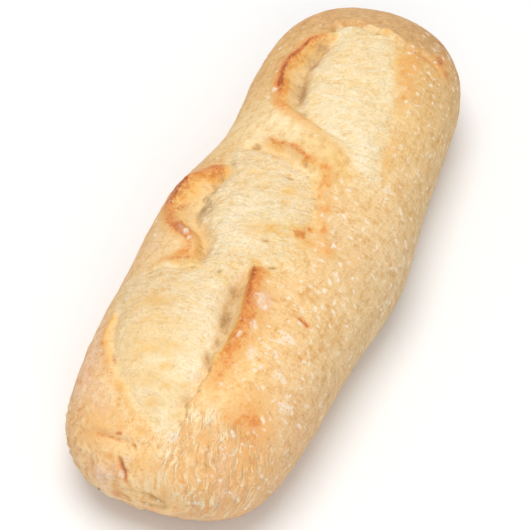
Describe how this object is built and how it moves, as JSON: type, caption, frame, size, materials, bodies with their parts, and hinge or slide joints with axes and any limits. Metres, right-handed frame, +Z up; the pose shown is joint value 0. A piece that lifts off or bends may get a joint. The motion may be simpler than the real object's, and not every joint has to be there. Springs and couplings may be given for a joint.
{
  "type": "baguette",
  "caption": "Short demi-baguette, a single baked loaf with a flat sole, slashed and opened along its crown with raised crust lips.",
  "frame": {"origin": "bottom centre of the loaf's bounding box, on the surface it lies on", "axes": "+X along the loaf towards its rounder, slimmer end, +Z up, +Y completes the right-handed frame"},
  "size_m": [0.23, 0.09, 0.0557],
  "materials": {
    "crust": "matt golden baked crust, dusted with flour, with pale crumb in the openings and darker baked lips"
  },
  "bodies": {
    "root": {"loaf": "crust"}
  },
  "joints": []
}
